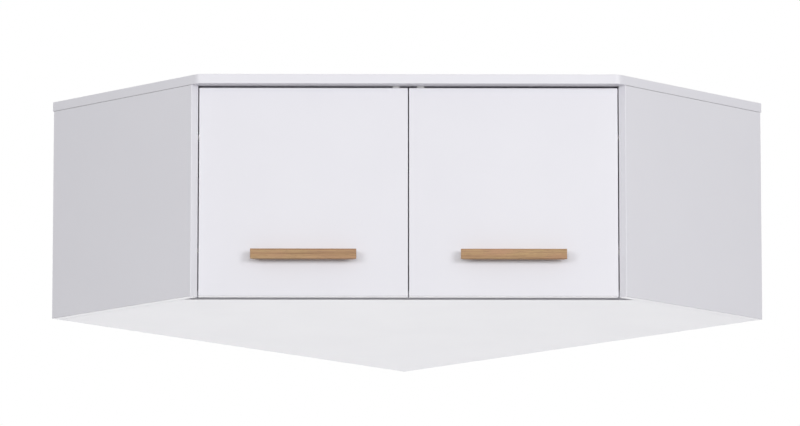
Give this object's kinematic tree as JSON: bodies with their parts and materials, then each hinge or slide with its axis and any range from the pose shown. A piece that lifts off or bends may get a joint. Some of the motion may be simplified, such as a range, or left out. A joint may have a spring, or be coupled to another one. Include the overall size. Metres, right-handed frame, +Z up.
{
  "type": "corner wall cabinet",
  "caption": "White five-sided wall cabinet for a room corner, with hinged doors across the diagonal front, oak bar handles, an overhanging top and rails for wall screws.",
  "frame": {"origin": "middle of the cabinet's outline, on the underside", "axes": "+X to the right seen from the front, +Y to the room corner behind, +Z up; the doors face -Y"},
  "size_m": [1.3576, 0.963, 0.42],
  "materials": {
    "white_board": "satin",
    "oak": "satin",
    "hardboard": "matte",
    "beech": "matte",
    "nickel": "satin",
    "zinc_plated_steel": "satin",
    "die_cast_zinc": "satin",
    "white_plastic": "satin",
    "magnet": "matte"
  },
  "bodies": {
    "carcass": {"back_panel_screws": "zinc_plated_steel", "bottom_panel": "white_board", "cam_bolts": "zinc_plated_steel", "cam_locks": "die_cast_zinc", "corner_post": "white_board", "dowels": "beech", "left_back_panel": "hardboard", "left_door_stop": "white_plastic", "left_hanging_rail": "white_board", "left_hinge_arm_screws": "zinc_plated_steel", "left_hinge_plate_screws": "zinc_plated_steel", "left_lower_hinge_arm": "nickel", "left_lower_hinge_plate": "nickel", "left_magnet": "magnet", "left_side_panel": "white_board", "left_stop_screw": "zinc_plated_steel", "left_upper_hinge_arm": "nickel", "left_upper_hinge_plate": "nickel", "right_back_panel": "hardboard", "right_door_stop": "white_plastic", "right_hanging_rail": "white_board", "right_hinge_arm_screws": "zinc_plated_steel", "right_hinge_plate_screws": "zinc_plated_steel", "right_lower_hinge_arm": "nickel", "right_lower_hinge_plate": "nickel", "right_magnet": "magnet", "right_side_panel": "white_board", "right_stop_screw": "zinc_plated_steel", "right_upper_hinge_arm": "nickel", "right_upper_hinge_plate": "nickel", "top_panel": "white_board"},
    "left_leaf": {"left_door": "white_board", "left_handle": "oak", "left_handle_screws": "zinc_plated_steel", "left_hinge_cup_screws": "zinc_plated_steel", "left_hinge_pins": "zinc_plated_steel", "left_lower_hinge_cup": "nickel", "left_strike_plate": "zinc_plated_steel", "left_strike_screw": "zinc_plated_steel", "left_upper_hinge_cup": "nickel"},
    "right_leaf": {"right_door": "white_board", "right_handle": "oak", "right_handle_screws": "zinc_plated_steel", "right_hinge_cup_screws": "zinc_plated_steel", "right_hinge_pins": "zinc_plated_steel", "right_lower_hinge_cup": "nickel", "right_strike_plate": "zinc_plated_steel", "right_strike_screw": "zinc_plated_steel", "right_upper_hinge_cup": "nickel"}
  },
  "joints": [
    {"name": "left_door_hinge", "type": "hinge", "parent": "carcass", "child": "left_leaf", "pos_m": [-0.38036, -0.4458, 0.21], "axis": [0, 0, -1], "range_deg": [0, 95]},
    {"name": "right_door_hinge", "type": "hinge", "parent": "carcass", "child": "right_leaf", "pos_m": [0.38036, -0.4458, 0.21], "axis": [0, 0, 1], "range_deg": [0, 95]}
  ]
}
